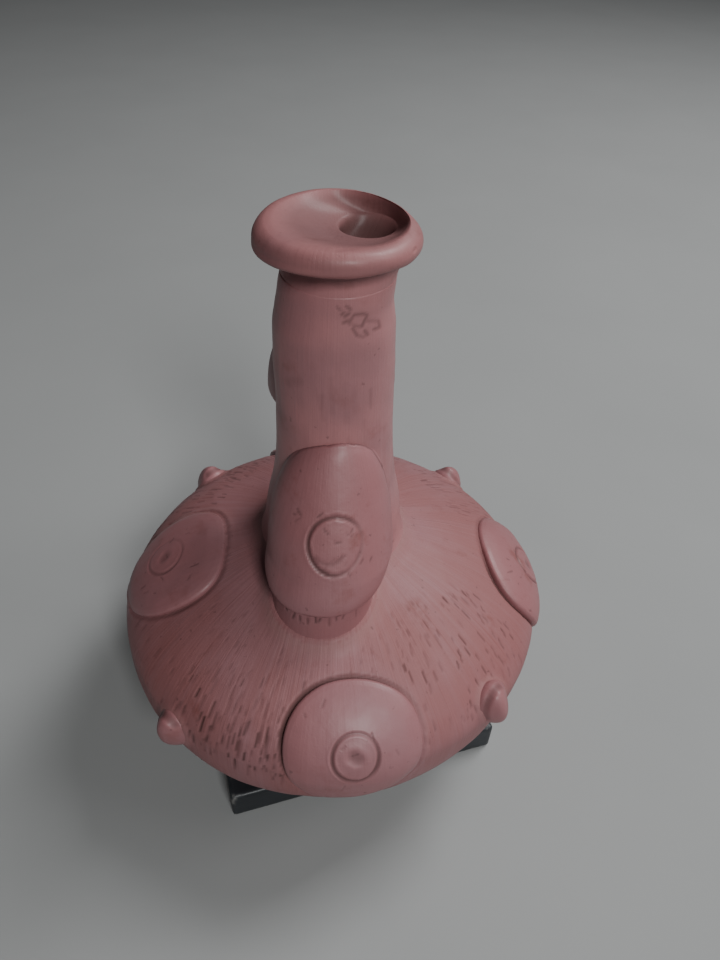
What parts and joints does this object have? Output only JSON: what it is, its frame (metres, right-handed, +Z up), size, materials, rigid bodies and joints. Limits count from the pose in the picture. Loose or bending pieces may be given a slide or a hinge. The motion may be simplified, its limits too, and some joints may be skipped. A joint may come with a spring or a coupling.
{
  "type": "pottery bottle",
  "caption": "Hand-built clay bottle with a squat round body, a tall lobed neck, a flared lip, pads and nubs on the shoulder, standing loose on a square wooden plinth.",
  "frame": {"origin": "centre of the plinth's underside, on the surface that the object stands on", "axes": "+Z up along the bottle's neck, -Y towards the front disc and the front boss, +X to the right"},
  "size_m": [0.1714, 0.1748, 0.2222],
  "materials": {
    "clay": "burnished red-brown earthenware, satin, worn",
    "black_wood": "black stained, satin, scuffed along the edges"
  },
  "bodies": {
    "plinth": {"plinth": "black_wood"},
    "bottle": {"body_lower": "clay", "body_upper": "clay", "neck_lower": "clay", "neck_upper": "clay", "lip": "clay", "boss_front": "clay", "boss_rear": "clay", "disc_front": "clay", "disc_right": "clay", "disc_back": "clay", "disc_left": "clay", "nub_front_right": "clay", "nub_front_left": "clay", "nub_back_right": "clay", "nub_back_left": "clay"}
  },
  "joints": [
    {"name": "bottle_lift", "type": "slide", "parent": "plinth", "child": "bottle", "axis": [0, 0, 1], "range_m": [0, 0.06]}
  ]
}
